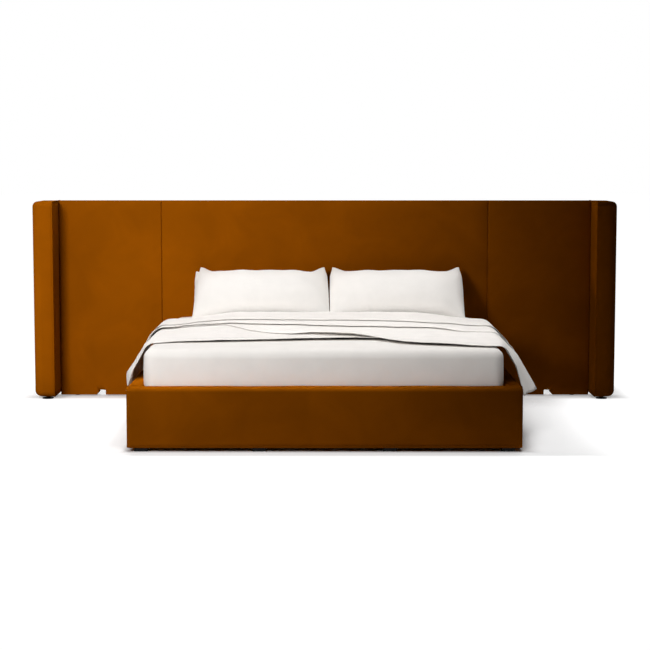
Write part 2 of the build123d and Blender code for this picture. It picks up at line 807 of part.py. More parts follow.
def build():
    """Every node by name."""
    nodes = {}
    base_spigots, headboard_spigots = spigots(hole_clearance)
    joins = join_bolts(hole_clearance)
    rail_holes = bracket_bolts(hole_clearance) + ledger_screws(hole_clearance)
    head_holes = head_bolts(hole_clearance)

    center = (-center_half, center_half)
    core, foam, cover = upholstered_panel(center, [])
    cuts = joins + headboard_spigots + head_holes
    nodes["headboard_center_core"] = group([piece - cuts for piece in core])
    nodes["headboard_center_foam"] = foam - head_holes
    nodes["headboard_center_cover"] = cover - head_holes - headboard_spigots

    side = (side_inner_x, side_outer_x)
    core, foam, cover = upholstered_panel(side, [(notch(), notch(velvet))])
    core = [piece - joins - headboard_spigots for piece in core]
    cover = cover - headboard_spigots
    for name, place in (("right", lambda piece: piece), ("left", left)):
        nodes[f"headboard_{name}_core"] = group([place(piece) for piece in core])
        nodes[f"headboard_{name}_foam"] = place(foam)
        nodes[f"headboard_{name}_cover"] = place(cover)

    hole = leveller_hole()
    core, foam, cover = upholstered_wing()
    core = [piece - joins - hole for piece in core]
    stem, pad, nut = leveller_stem(), leveller_pad(), leveller_nut()
    for name, place in (("right", lambda piece: piece), ("left", left)):
        nodes[f"wing_{name}_core"] = group([place(piece) for piece in core])
        nodes[f"wing_{name}_foam"] = place(foam - hole)
        nodes[f"wing_{name}_cover"] = place(cover - hole)
        nodes[f"leveller_pad_{name}"] = place(pad)
        nodes[f"leveller_stem_{name}"] = place(stem)
    nodes["leveller_nuts"] = group(both_sides([nut]))

    side_bottom = panel_bottom + notch_height + back_return / 2
    sheets = both_sides([
        back_sheet(side, side_bottom),
        back_sheet(grown((wing_inner_x, wing_outer_x), -back_cloth_inset), wing_bottom + wing_bottom_radius),
    ])
    sheets.append(back_sheet(center, side_bottom))
    nodes["headboard_back_cloth"] = group([sheet - joins for sheet in sheets])
    nodes["headboard_join_plates"] = group(join_plates())
    nodes["headboard_join_bolts"] = group(join_bolts())
    glides = [glide(x, glide_y, panel_bottom) for x in glide_places()]
    nodes["headboard_feet"] = group(both_sides(glides))

    core, foam, cover = upholstered_footboard()
    nodes["footboard_core"] = core - rail_holes - base_spigots
    nodes["footboard_foam"] = foam
    nodes["footboard_cover"] = cover - base_spigots
    core, foam, cover = upholstered_rail()
    core = core - rail_holes - base_spigots
    cover = cover - base_spigots
    for name, place in (("right", lambda piece: piece), ("left", left)):
        nodes[f"side_rail_{name}_core"] = place(core)
        nodes[f"side_rail_{name}_foam"] = place(foam)
        nodes[f"side_rail_{name}_cover"] = place(cover)
        nodes[f"slat_ledger_{name}"] = place(ledger())
    nodes["head_rail"] = head_rail()
    nodes["center_beam"] = center_beam()
    nodes["center_legs"] = group([center_leg(y) for y in leg_places()])
    nodes["corner_brackets"] = group(brackets())
    nodes["frame_bolts"] = group(bracket_bolts() + head_bolts() + ledger_screws())
    feet = [base_foot(x, y, along_x) for x, y, along_x in foot_places()]
    nodes["base_feet"] = group(both_sides(feet))
    for i, slat in enumerate(slats()):
        nodes[f"slat_{i + 1:02d}"] = slat

    nodes["mattress"] = mattress_form()
    nodes["fitted_sheet"] = fitted_sheet()
    flat_low = soft_gap + fitted_thickness + soft_gap
    coverlet_low = flat_low + flat_thickness + soft_gap
    nodes["flat_sheet"] = cloth(flat_low, flat_thickness, flat_hem)
    nodes["coverlet"] = cloth(coverlet_low, coverlet_thickness, coverlet_hem)
    for name, x in (("left", left_pillow_center), ("right", right_pillow_center)):
        nodes[f"pillow_front_{name}"] = pillow(x, 0, front_pillow_bulge, front_pillow_hollow)
        shift = -back_pillow_shift if name == "left" else 0
        nodes[f"pillow_back_{name}"] = pillow(
            x + shift,
            back_pillow_setback,
            back_pillow_front,
            -back_pillow_bulge,
            back_pillow_height_share,
        )
    return nodes


os.makedirs("parts", exist_ok=True)
for name, shape in build().items():
    export_step(shape, f"parts/{name}.step")
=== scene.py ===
import json
from math import ceil, cos, pi, radians, sin

import bmesh
import bpy
import numpy as np
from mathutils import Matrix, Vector

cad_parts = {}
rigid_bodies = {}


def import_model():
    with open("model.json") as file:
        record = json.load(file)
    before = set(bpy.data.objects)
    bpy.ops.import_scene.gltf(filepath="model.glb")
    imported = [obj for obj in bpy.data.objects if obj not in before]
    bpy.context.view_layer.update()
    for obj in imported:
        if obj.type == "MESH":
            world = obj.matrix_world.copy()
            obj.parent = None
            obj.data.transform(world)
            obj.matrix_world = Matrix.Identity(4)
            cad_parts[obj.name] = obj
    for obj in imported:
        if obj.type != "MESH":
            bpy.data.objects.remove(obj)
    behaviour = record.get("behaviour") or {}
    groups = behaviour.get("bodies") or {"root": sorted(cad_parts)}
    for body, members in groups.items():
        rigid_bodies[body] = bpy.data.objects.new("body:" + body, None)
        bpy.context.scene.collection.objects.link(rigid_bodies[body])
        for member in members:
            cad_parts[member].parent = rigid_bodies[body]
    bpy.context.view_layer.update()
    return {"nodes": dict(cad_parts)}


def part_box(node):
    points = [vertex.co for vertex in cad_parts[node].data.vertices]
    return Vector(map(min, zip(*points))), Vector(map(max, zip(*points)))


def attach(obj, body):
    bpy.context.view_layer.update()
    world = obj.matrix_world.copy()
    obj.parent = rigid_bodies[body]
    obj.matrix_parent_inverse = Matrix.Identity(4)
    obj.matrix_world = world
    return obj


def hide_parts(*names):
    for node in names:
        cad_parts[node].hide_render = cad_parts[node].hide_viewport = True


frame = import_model()
ROOT = "bed_frame"
X, Y, Z = 0, 1, 2

# Places read from the frame, in metres
CENTER_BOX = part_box("headboard_center_cover")
SIDE_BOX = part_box("headboard_right_cover")
WING_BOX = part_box("wing_right_cover")
RAIL_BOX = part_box("side_rail_right_cover")
FOOT_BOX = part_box("footboard_cover")
RAIL_CORE_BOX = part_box("side_rail_right_core")
FOOT_CORE_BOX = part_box("footboard_core")
MATTRESS_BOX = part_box("mattress")
STEM_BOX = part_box("leveller_stem_right")
FRONT_Y = FOOT_BOX[0].y

# How finely the padded pieces are sliced, and how near counts as the same place
PITCH = 0.045
WING_PITCH = (0.017, 0.040)
PAST_ROUND = 0.002
NEAR = 1e-4

# Headboard panels
PANEL_ROUND = 0.016
PANEL_SIDE_ROUND = 0.007
PANEL_DROP = 0.005
PANEL_CROWN = 0.0058
PANEL_WAVE = 0.0011
PANEL_WAVE_LENGTH = 0.55
PANEL_CROWN_RUN = 0.05

# Cable notches
NOTCH_X = 1.460
NOTCH_WIDTH = 0.046
NOTCH_HEIGHT = 0.028
NOTCH_ROUND = 0.008
NOTCH_FLARE = 0.012
NOTCH_STEPS = 6
NOTCH_OVERRUN = 0.02

# Wings
WING_FRONT_ROUND = 0.060
WING_BACK_ROUND = 0.042
WING_TOP_ROUND = 0.034
WING_BOTTOM_ROUND = 0.036
WING_FRONT_FALL = 0.030
WING_FALL_RUN = (0.02, 0.14)
STEM_HOLE_RADIUS = 0.0062
STEM_HOLE_DEPTH = 0.16
STEM_HOLE_Z = 0.022
WELT_RADIUS = 0.0035
WELT_INSET = 0.001
WELT_BOTTOM = 0.004
WELT_TURN = 0.012

# Rails and footboard
RAIL_ROUND = 0.020
RAIL_CORNER_ROUND = 0.024
RAIL_WAVE = 0.0011
FOOT_WAVE = 0.0014
PAD_WAVE_LENGTH = 0.45
PAD_BOTTOM_RUN = (0.004, 0.05)
PAD_END_RUN = 0.04
FLAP_BOTTOM = 0.3062
CORE_ROOM = 0.004
CORE_OVERRUN = 0.01
CUTTER_PITCH = 1.0

# Mattress
MATTRESS_HALF = 0.965
MATTRESS_TOP = 0.535
MATTRESS_BOTTOM = 0.325
MATTRESS_CORNER = 0.060
MATTRESS_EDGE = 0.046
MATTRESS_FOOT_EDGE = 0.026
MATTRESS_SHIFT = 0.005
MATTRESS_PITCH = 0.05
MATTRESS_SIDE_PITCH = 0.03
MATTRESS_PAST_ROUND = 0.003
MATTRESS_SEED = 11
BODY_INSET = 0.0015
SKIN_OUT = 0.0005
SKIN_BOTTOM = MATTRESS_BOTTOM + 0.010
SKIN_THICKNESS = 0.0012
SWELL_DEPTH = 0.0012
SWELL_WAVE_LENGTH = 0.7
HEAD_SINK = 0.012
CREASE_DEPTH = 0.0012
CREASE_RUN = 0.16

# Sheets that hang over the rails
CLOTH_HEAD = 1.690
FLAT_HALF = 0.86
SIDE_SHARE = 0.4
DRAPE_ROUND = 0.050
LOOSE_OUT = 0.030
LOOSE_RISE = 0.012
ARC_STEPS = 8
FOLD_START = 0.2
CLOTH_SEED = 23
CLOTH_WAVE = 0.0016
CLOTH_WAVE_LENGTH = 0.33
RIPPLE_LEFT, RIPPLE_RIGHT = 0.0060, 0.0030
LOW_HEM_RUN, TOP_HEM_RUN = 0.045, 0.035

# Pillows
BAG_WIDTH, BAG_HEIGHT = 0.93, 0.50
BAG_CELLS = (84, 44)
BAG_LIFT = 0.012
BAG_CREASE = 0.0004
FILL_FRAMES = 26
PILLOW_HEIGHT = 0.440
PILLOW_FOOT = 1.735
PILLOW_LEAN = pi / 4
PILLOW_CLEAR = 0.0035
SIDE_BULGE = 0.030
EAR_SAG = 0.040
REST_HEIGHT = MATTRESS_TOP + 0.0030
REST_RUN = 0.012

# Floor, surround and camera
FLOOR_TONE = 0.82
FLOOR_DIMMING = 0.80
# Floor glow to seen rays, from none at the base to full further out: a painted shadow round the
# base, besides the lit one. The pulls make it shorter on the left and in front, so it is longest on
# the right.
NEAR_GLOW = 0.32
FAR_GLOW = 0.68
LEFT_PULL, FRONT_PULL = 3.0, 3.5
BEHIND_ROOM = 0.10
SURROUND = 0.03
CAMERA_LENS = 94.4
CAMERA_PLACE = (0.002, FRONT_Y - 8.957, 1.560)
CAMERA_DOWN = 5.62


def noise(points, scale, seed, octaves=3, waves=5):
    """A smooth random value at each point, about -1 to 1, made of waves in seeded directions."""
    rng = np.random.default_rng(seed)
    total = np.zeros(len(points))
    level = 1 / 3.2
    for _ in range(octaves):
        for _ in range(waves):
            direction = rng.normal(size=3)
            direction *= 2 * pi / scale / np.linalg.norm(direction) * rng.uniform(0.7, 1.4)
            total += level * np.sin(points @ direction + rng.uniform(0, 2 * pi))
        scale /= 2.1
        level /= 2
    return total


def smooth(x, low, high):
    """0 at low, 1 at high, and an even turn between them, whichever of the two is larger."""
    t = np.clip((np.asarray(x, float) - low) / (high - low), 0, 1)
    return t * t * (3 - 2 * t)


def coordinates(mesh, kind="co"):
    """Where a mesh's vertices are or, with the kind normal, which way they face."""
    values = np.zeros(len(mesh.vertices) * 3)
    mesh.vertices.foreach_get(kind, values)
    return values.reshape(-1, 3)


def place(mesh, points):
    mesh.vertices.foreach_set("co", np.asarray(points, float).ravel())
    mesh.update()


def new_object(name, data):
    obj = bpy.data.objects.new(name, data)
    bpy.context.scene.collection.objects.link(obj)
    return obj


def from_bmesh(name, bm):
    mesh = bpy.data.meshes.new(name)
    bmesh.ops.recalc_face_normals(bm, faces=bm.faces)
    bm.to_mesh(mesh)
    bm.free()
    mesh.shade_smooth()
    return new_object(name, mesh)


def apply_modifiers(obj):
    """Puts what the modifiers make into the object's own mesh."""
    graph = bpy.context.evaluated_depsgraph_get()
    made = bpy.data.meshes.new_from_object(obj.evaluated_get(graph))
    old = obj.data
    obj.modifiers.clear()
    obj.data = made
    bpy.data.meshes.remove(old)
    obj.data.shade_smooth()


def mirrored(obj, name):
    """A copy on the other side of the bed."""
    mesh = obj.data.copy()
    points = coordinates(mesh)
    points[:, X] *= -1
    place(mesh, points)
    mesh.flip_normals()
    return new_object(name, mesh)


# Materials
def principled(name, color, roughness, **sockets):
    """A material with one principled shader. A socket's name has _ where the shader has a space."""
    material = bpy.data.materials.new(name)
    material.use_nodes = True
    shader = material.node_tree.nodes["Principled BSDF"]
    shader.inputs["Base Color"].default_value = (*color, 1)
    shader.inputs["Roughness"].default_value = roughness
    for key, value in sockets.items():
        shader.inputs[key.replace("_", " ")].default_value = value
    return material, shader


def add_node(material, kind, **values):
    node = material.node_tree.nodes.new(kind)
    for key, value in values.items():
        if hasattr(node, key):
            setattr(node, key, value)
        else:
            node.inputs[key.replace("_", " ")].default_value = value
    return node


def link(material, source, target):
    material.node_tree.links.new(source, target)


def object_points(material, scale=(1, 1, 1)):
    """Object coordinates, stretched along each axis."""
    source = add_node(material, "ShaderNodeTexCoord")
    mapping = add_node(material, "ShaderNodeMapping", Scale=scale)
    link(material, source.outputs["Object"], mapping.inputs["Vector"])
    return mapping.outputs["Vector"]


def texture(material, kind, where, **values):
    """A texture node at the given coordinates."""
    node = add_node(material, f"ShaderNodeTex{kind}", **values)
    link(material, where, node.inputs["Vector"])
    return node


def tint(material, shader, source, color, stops):
    """Makes the base colour darker and lighter, by (position, factor) stops."""
    node = add_node(material, "ShaderNodeValToRGB")
    elements = node.color_ramp.elements
    while len(elements) < len(stops):
        elements.new(0.5)
    for element, (position, factor) in zip(elements, stops):
        element.position = position
        element.color = (*(min(1, c * factor) for c in color), 1)
    link(material, source, node.inputs["Fac"])
    link(material, node.outputs["Color"], shader.inputs["Base Color"])


def bump(material, shader, height, strength, distance, after=None):
    """Fine relief, on top of the relief that comes before it."""
    node = add_node(material, "ShaderNodeBump", Strength=strength, Distance=distance)
    link(material, height, node.inputs["Height"])
    if after is not None:
        link(material, after, node.inputs["Normal"])
    link(material, node.outputs["Normal"], shader.inputs["Normal"])
    return node.outputs["Normal"]


def velvet_material():
    """Short pile: a nap that lies unevenly, a fine grain, and a trace of golden sheen."""
    color = (0.224, 0.057, 0.0006)
    material, shader = principled(
        "velvet", color, 0.60, Specular_IOR_Level=0.0,
        Sheen_Weight=0.05, Sheen_Roughness=0.30, Sheen_Tint=(1.0, 0.52, 0.05, 1),
    )
    where = object_points(material)
    nap = texture(material, "Noise", where, Scale=3.2, Detail=4.0, Roughness=0.55, Distortion=0.6)
    tint(material, shader, nap.outputs["Fac"], color, [(0.30, 0.90), (0.50, 1.0), (0.72, 1.12)])
    pile = texture(material, "Noise", where, Scale=900.0, Detail=2.0, Roughness=0.6)
    first = bump(material, shader, pile.outputs["Fac"], 0.35, 0.0006)
    streaks = object_points(material, (1, 1, 0.35))
    brushed = texture(material, "Noise", streaks, Scale=14.0, Detail=3.0, Roughness=0.5)
    bump(material, shader, brushed.outputs["Fac"], 0.25, 0.0020, first)
    return material


def cotton_material(name, color, thread, rib, sheen):
    """Woven cotton: threads both ways at a real pitch, and faint creases."""
    material, shader = principled(
        name, color, 0.86, Specular_IOR_Level=0.18, Sheen_Weight=sheen, Sheen_Roughness=0.5
    )
    where = object_points(material)
    mottle = texture(material, "Noise", where, Scale=9.0, Detail=3.0, Roughness=0.5)
    tint(material, shader, mottle.outputs["Fac"], color, [(0.35, 0.975), (0.65, 1.01)])
    last = None
    for direction, pitch, depth in (("X", thread, 0.00008), ("Y", thread * rib, 0.00022)):
        wave = texture(
            material, "Wave", where,
            bands_direction=direction, Distortion=0.35, Scale=1 / (pitch * pi), Detail=1.0,
        )
        last = bump(material, shader, wave.outputs["Fac"], 0.5, depth, last)
    pulled = object_points(material, (0.5, 1.4, 1))
    creases = texture(
        material, "Noise", pulled, Scale=7.0, Detail=5.0, Roughness=0.55, Distortion=0.8
    )
    bump(material, shader, creases.outputs["Fac"], 0.22, 0.004, last)
    return material


def timber_material(along):
    """Sawn softwood whose grain runs along one axis."""
    color = (0.60, 0.41, 0.22)
    material, shader = principled(f"timber_along_{along.lower()}", color, 0.62)
    scale = [9.0, 9.0, 9.0]
    scale["XYZ".index(along)] = 0.7
    where = object_points(material, scale)
    bands = "Z" if along != "Z" else "X"
    rings = texture(
        material, "Wave", where, bands_direction=bands, Distortion=5.5, Scale=1.3, Detail=4.0
    )
    tint(material, shader, rings.outputs["Fac"], color, [(0.10, 0.72), (0.55, 1.0), (0.90, 1.18)])
    fibre = texture(material, "Noise", where, Scale=22.0, Detail=4.0, Roughness=0.6)
    bump(material, shader, fibre.outputs["Fac"], 0.3, 0.0006)
    return material


def grained_material(name, color, roughness, scale, depth, metallic=0.0, gloss=0.5):
    """A moulded, coated or plated surface: fine grain in its colour, gloss and relief."""
    material, shader = principled(
        name, color, roughness, Metallic=metallic, Specular_IOR_Level=gloss
    )
    grain = texture(
        material, "Noise", object_points(material), Scale=scale, Detail=3.0, Roughness=0.6
    )
    tint(material, shader, grain.outputs["Fac"], color, [(0.3, 0.82), (0.7, 1.15)])
    spread = add_node(
        material, "ShaderNodeMapRange", To_Min=roughness * 0.8, To_Max=min(1, roughness * 1.2)
    )
    link(material, grain.outputs["Fac"], spread.inputs["Value"])
    link(material, spread.outputs["Result"], shader.inputs["Roughness"])
    bump(material, shader, grain.outputs["Fac"], 0.4, depth)
    return material


def dust_cloth_material():
    """Non-woven cloth: short fibres pressed flat, with a grid of tiny bonds."""
    color = (0.018, 0.018, 0.020)
    material, shader = principled("dust_cloth", color, 0.95)
    cells = texture(material, "Voronoi", object_points(material), Scale=420.0)
    tint(material, shader, cells.outputs["Distance"], color, [(0.0, 0.6), (0.6, 1.7)])
    bump(material, shader, cells.outputs["Distance"], 0.5, 0.0003)
    return material


WHITE = (0.865, 0.828, 0.788)
VELVET = velvet_material()
SHEET = cotton_material("white_sheet", WHITE, 0.0009, 1.0, 0.12)
COVERLET = cotton_material("white_coverlet", WHITE, 0.0016, 3.0, 0.15)
PILLOW = cotton_material("white_pillow", (0.870, 0.838, 0.803), 0.0009, 1.0, 0.18)
TICKING = cotton_material("ticking", (0.80, 0.79, 0.76), 0.0020, 2.0, 0.10)
TIMBER_X, TIMBER_Y, TIMBER_Z = (timber_material(along) for along in "XYZ")
FOAM = grained_material("foam", (0.72, 0.64, 0.42), 0.95, 260.0, 0.0008)
DUST_CLOTH = dust_cloth_material()
BRACKET_STEEL = grained_material("bracket_steel", (0.022, 0.022, 0.024), 0.50, 900.0, 0.0002)
ZINC_STEEL = grained_material(
    "zinc_steel", (0.50, 0.51, 0.53), 0.32, 160.0, 0.0001, metallic=1.0
)
PLASTIC = grained_material(
    "black_plastic", (0.010, 0.010, 0.011), 0.60, 600.0, 0.0003, gloss=0.12
)


def finish_piece(obj, material, slot, *nodes):
    """What every new piece gets: its finish, its body, and the nodes it stands for. The slot is not
    used.
    """
    obj.data.materials.clear()
    obj.data.materials.append(material)
    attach(obj, ROOT)
    if nodes:
        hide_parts(*nodes)
    return obj


# Upholstered pieces
def box_mesh(low, high):
    bm = bmesh.new()
    bmesh.ops.create_cube(bm, size=1)
    middle = (Vector(low) + Vector(high)) / 2
    size = Vector(high) - Vector(low)
    for vertex in bm.verts:
        vertex.co = Vector(v * s for v, s in zip(vertex.co, size)) + middle
    return bm


def runs(way, axis):
    """Whether an edge's direction is along one axis."""
    return abs(way[axis]) > 0.9


def round_edges(bm, chosen, radius, segments):
    """Rounds the edges whose middle and direction the chosen test accepts."""
    edges = []
    for edge in bm.edges:
        start, end = (vertex.co for vertex in edge.verts)
        if chosen((start + end) / 2, (end - start).normalized()):
            edges.append(edge)
    bmesh.ops.bevel(
        bm, geom=edges, offset=radius, segments=segments, profile=0.5, affect="EDGES"
    )


def slice_mesh(bm, axis, pitch, margin=0.0):
    """Adds loops of edges square to one axis, evenly spaced inside the piece."""
    places = [vertex.co[axis] for vertex in bm.verts]
    low, high = min(places) + margin, max(places) - margin
    count = max(2, ceil((high - low) / pitch))
    normal = [0, 0, 0]
    normal[axis] = 1
    for i in range(count + 1) if margin else range(1, count):
        where = [0, 0, 0]
        where[axis] = low + i / count * (high - low)
        geometry = bm.verts[:] + bm.edges[:] + bm.faces[:]
        bmesh.ops.bisect_plane(bm, geom=geometry, plane_co=where, plane_no=normal, dist=0.0002)


def cut_away(obj, cutter):
    """Takes the cutter's space out of the piece, and removes the cutter."""
    modifier = obj.modifiers.new("cut", "BOOLEAN")
    modifier.operation = "DIFFERENCE"
    modifier.object = cutter
    modifier.solver = "EXACT"
    apply_modifiers(obj)
    bpy.data.objects.remove(cutter)


def quarter_turn(steps):
    """Even angles from 0 to a quarter turn."""
    return [pi / 2 * i / steps for i in range(steps + 1)]


def headboard_panel(name, low, high, seed):
    """One padded panel: soft round its front, square at its back."""
    low = Vector((low.x, low.y, low.z - PANEL_DROP))
    bm = box_mesh(low, high)
    front = lambda middle: abs(middle.y - low.y) < NEAR
    round_edges(bm, lambda m, w: front(m) and runs(w, Z), PANEL_SIDE_ROUND, 5)
    round_edges(bm, lambda m, w: front(m) and runs(w, X), PANEL_ROUND, 6)
    for axis in (X, Z):
        slice_mesh(bm, axis, PITCH, PANEL_ROUND + PAST_ROUND)
    obj = from_bmesh(name, bm)
    soften(obj, seed)
    return obj


def soften(obj, seed):
    """Fills out a panel's front a little, and lets the foam show as slow waves."""
    points, along = coordinates(obj.data), coordinates(obj.data, "normal")
    low, high = points.min(0), points.max(0)
    margin = np.minimum(points - low, high - points)[:, [X, Z]].min(1)
    fill = smooth(margin, 0.0, PANEL_CROWN_RUN)
    front = np.clip(-along[:, Y], 0, 1) ** 4
    wave = noise(points * (1, 0.2, 1), PANEL_WAVE_LENGTH, seed) * PANEL_WAVE
    reach = (PANEL_CROWN + wave) * fill * front
    place(obj.data, points + along * reach[:, None])


def notch_cutter():
    """The cable notch's outline, pushed through a side panel."""
    half, top, bottom = NOTCH_WIDTH / 2, SIDE_BOX[0].z + NOTCH_HEIGHT, SIDE_BOX[0].z
    below = bottom - NOTCH_OVERRUN / 2
    points = [(-half, below)]
    for side in (-1, 1):
        x, z = side * (half - NOTCH_ROUND), top - NOTCH_ROUND
        for turn in quarter_turn(NOTCH_STEPS):
            turn = pi - turn if side < 0 else pi / 2 - turn
            points.append((x + NOTCH_ROUND * cos(turn), z + NOTCH_ROUND * sin(turn)))
    x, z = half + NOTCH_FLARE, bottom + NOTCH_FLARE
    for turn in quarter_turn(NOTCH_STEPS):
        points.append((x - NOTCH_FLARE * cos(turn), z - NOTCH_FLARE * sin(turn)))
    points.append((x, below))
    span = (SIDE_BOX[0].y - NOTCH_OVERRUN, SIDE_BOX[1].y + NOTCH_OVERRUN)
    points = [(NOTCH_X + x, z) for x, z in points]
    return profile_piece("notch_cutter", points, span, Y)


def notched_panel():
    """The right side panel, with its cable notch."""
    panel = headboard_panel("headboard_right", *SIDE_BOX, 5)
    cut_away(panel, notch_cutter())
    return panel


def stem_cutter():
    """The round space in a wing's padding where its leveller's stem goes up."""
    bm = bmesh.new()
    radii = {"radius1": STEM_HOLE_RADIUS, "radius2": STEM_HOLE_RADIUS}
    bmesh.ops.create_cone(bm, cap_ends=True, segments=24, depth=STEM_HOLE_DEPTH, **radii)
    cutter = from_bmesh("stem_cutter", bm)
    middle = (STEM_BOX[0] + STEM_BOX[1]) / 2
    cutter.location = (middle.x, middle.y, STEM_HOLE_Z)
    bpy.context.view_layer.update()
    return cutter


def wing():
    """The right wing: round on its outer side, with a crisp inner front edge."""
    low, high = WING_BOX
    bm = box_mesh(low, high)
    outer = lambda m, w: runs(w, Z) and m.x > high.x - NEAR
    round_edges(bm, lambda m, w: outer(m, w) and m.y < low.y + NEAR, WING_FRONT_ROUND, 10)
    round_edges(bm, lambda m, w: outer(m, w) and m.y > high.y - NEAR, WING_BACK_ROUND, 8)
    rim = lambda m, z: abs(m.z - z) < NEAR and m.x > low.x + NEAR and m.y < high.y - NEAR
    round_edges(bm, lambda m, w: rim(m, high.z), WING_TOP_ROUND, 6)
    round_edges(bm, lambda m, w: rim(m, low.z), WING_BOTTOM_ROUND, 6)
    slice_mesh(bm, X, WING_PITCH[X])
    slice_mesh(bm, Y, WING_PITCH[Y], WING_FRONT_ROUND)
    slice_mesh(bm, Z, PITCH, WING_BOTTOM_ROUND + PAST_ROUND)
    obj = from_bmesh("wing_right", bm)
    points = coordinates(obj.data)
    across = np.clip((points[:, X] - low.x) / (high.x - low.x), 0, 1)
    forward = 1 - smooth(points[:, Y] - low.y, *WING_FALL_RUN)
    points[:, Y] += WING_FRONT_FALL * across ** 2 * forward
    place(obj.data, points)
    cut_away(obj, stem_cutter())
    return obj


def tube(name, path, radius, sides=8):
    """A round tube along a path, with flat ends."""
    bm = bmesh.new()
    rings = []
    for i, point in enumerate(path):
        point = Vector(point)
        before = Vector(path[max(0, i - 1)])
        after = Vector(path[min(len(path) - 1, i + 1)])
        along = (after - before).normalized()
        side = along.cross(Vector((1, 0, 0))).normalized()
        up = along.cross(side)
        ring = []
        for k in range(sides):
            turn = 2 * pi * k / sides
            ring.append(bm.verts.new(point + radius * (side * cos(turn) + up * sin(turn))))
        rings.append(ring)
    join_rings(bm, rings)
    bm.faces.new(reversed(rings[0]))
    bm.faces.new(rings[-1])
    return from_bmesh(name, bm)


def join_rings(bm, rings):
    """Faces between each closed ring of vertices and the next."""
    for first, second in zip(rings, rings[1:]):
        for k in range(len(first)):
            j = (k + 1) % len(first)
            bm.faces.new((first[k], first[j], second[j], second[k]))


def wing_welt():
    """The corded seam up the wing's inner front edge and back along its top."""
    low, high = WING_BOX
    x, y, top = low.x + WELT_INSET, low.y + WELT_INSET, high.z - WELT_INSET
    rise = high.z - low.z - WELT_BOTTOM - WELT_TURN
    path = [(x, y, low.z + WELT_BOTTOM + i / 24 * rise) for i in range(25)]
    for turn in quarter_turn(5)[1:]:
        path.append((x, y + WELT_TURN * (1 - cos(turn)), top - WELT_TURN * (1 - sin(turn))))
    back = high.y - y - WELT_TURN - 2 * WELT_INSET
    path += [(x, y + WELT_TURN + i / 8 * back, top) for i in range(1, 9)]
    return tube("wing_welt_right", path, WELT_RADIUS)


def profile_piece(name, outline, span, axis):
    """A closed outline, in the other two axes, pushed along one axis in even steps."""
    count = max(1, ceil((span[1] - span[0]) / CUTTER_PITCH))
    bm = bmesh.new()
    rings = []
    for i in range(count + 1):
        along = span[0] + i / count * (span[1] - span[0])
        corners = [(along, a, b) if axis == X else (a, along, b) for a, b in outline]
        rings.append([bm.verts.new(corner) for corner in corners])
    join_rings(bm, rings)
    for ring in (rings[0], rings[-1]):
        bmesh.ops.triangulate(bm, faces=[bm.faces.new(ring)])
    return from_bmesh(name, bm)


def core_cutter(inner, core, across, span):
    """The space of a rail's core, open on the inner side below the cover's flap."""
    low, high = core
    near, far, outward = low[across], high[across], -CORE_ROOM
    if inner > low[across]:
        near, far, outward = far, near, CORE_ROOM
    bottom = low.z - CORE_ROOM
    outline = [
        (inner + outward, bottom), (inner + outward, FLAP_BOTTOM),
        (near, FLAP_BOTTOM), (near, high.z), (far, high.z),
        (far, low.z), (near, low.z), (near, bottom),
    ]
    return profile_piece("core_cutter", outline, span, Y if across == X else X)


def pad_out(obj, depth, seed):
    """Slow waves in the padding, none along the bottom and at the ends."""
    points, along = coordinates(obj.data), coordinates(obj.data, "normal")
    low, high = points.min(0), points.max(0)
    margin = smooth(points[:, Z] - low[Z], *PAD_BOTTOM_RUN)
    axis = X if high[X] - low[X] > high[Y] - low[Y] else Y
    ends = np.minimum(points[:, axis] - low[axis], high[axis] - points[:, axis])
    margin = margin * smooth(ends, 0.0, PAD_END_RUN)
    wave = (noise(points, PAD_WAVE_LENGTH, seed) + 1) * depth
    place(obj.data, points + along * (wave * margin)[:, None])


def side_rail():
    """The right padded rail, with a soft top, hollow where its core stands."""
    low, high = RAIL_BOX
    bm = box_mesh(low, high)
    round_edges(bm, lambda m, w: runs(w, Y) and m.z > high.z - NEAR, RAIL_ROUND, 6)
    slice_mesh(bm, Y, PITCH)
    slice_mesh(bm, Z, PITCH, RAIL_ROUND + PAST_ROUND)
    obj = from_bmesh("side_rail_right", bm)
    pad_out(obj, RAIL_WAVE, 41)
    span = (low.y - CORE_OVERRUN, high.y + CORE_OVERRUN)
    cut_away(obj, core_cutter(low.x, RAIL_CORE_BOX, X, span))
    return obj


def footboard():
    """The padded footboard: soft top and front corners, hollow where its core stands."""
    low, high = FOOT_BOX
    bm = box_mesh(low, high)
    round_edges(bm, lambda m, w: runs(w, Z) and m.y < low.y + NEAR, RAIL_CORNER_ROUND, 8)
    top = lambda m: m.z > high.z - NEAR
    straight_back = lambda m, w: abs(w.x) < 0.05 and m.y > low.y + RAIL_CORNER_ROUND + NEAR
    round_edges(bm, lambda m, w: top(m) and not straight_back(m, w), RAIL_ROUND, 6)
    slice_mesh(bm, X, PITCH, RAIL_CORNER_ROUND + PAST_ROUND)
    slice_mesh(bm, Z, PITCH, RAIL_ROUND + PAST_ROUND)
    obj = from_bmesh("footboard", bm)
    pad_out(obj, FOOT_WAVE, 17)
    span = (FOOT_CORE_BOX[0].x, FOOT_CORE_BOX[1].x)
    cut_away(obj, core_cutter(high.y, FOOT_CORE_BOX, Y, span))
    return obj


def upholstery():
    """All velvet pieces. The left ones are the right ones mirrored."""
    center = headboard_panel("headboard_center", *CENTER_BOX, 3)
    finish_piece(center, VELVET, "velvet", "headboard_center_cover", "headboard_center_foam")
    for makers in ((notched_panel,), (wing, wing_welt), (side_rail,)):
        right = [make() for make in makers]
        left = [mirrored(obj, obj.name.replace("right", "left")) for obj in right]
        for obj in right + left:
            nodes = () if "welt" in obj.name else (f"{obj.name}_cover", f"{obj.name}_foam")
            finish_piece(obj, VELVET, "velvet", *nodes)
    finish_piece(footboard(), VELVET, "velvet", "footboard_cover", "footboard_foam")


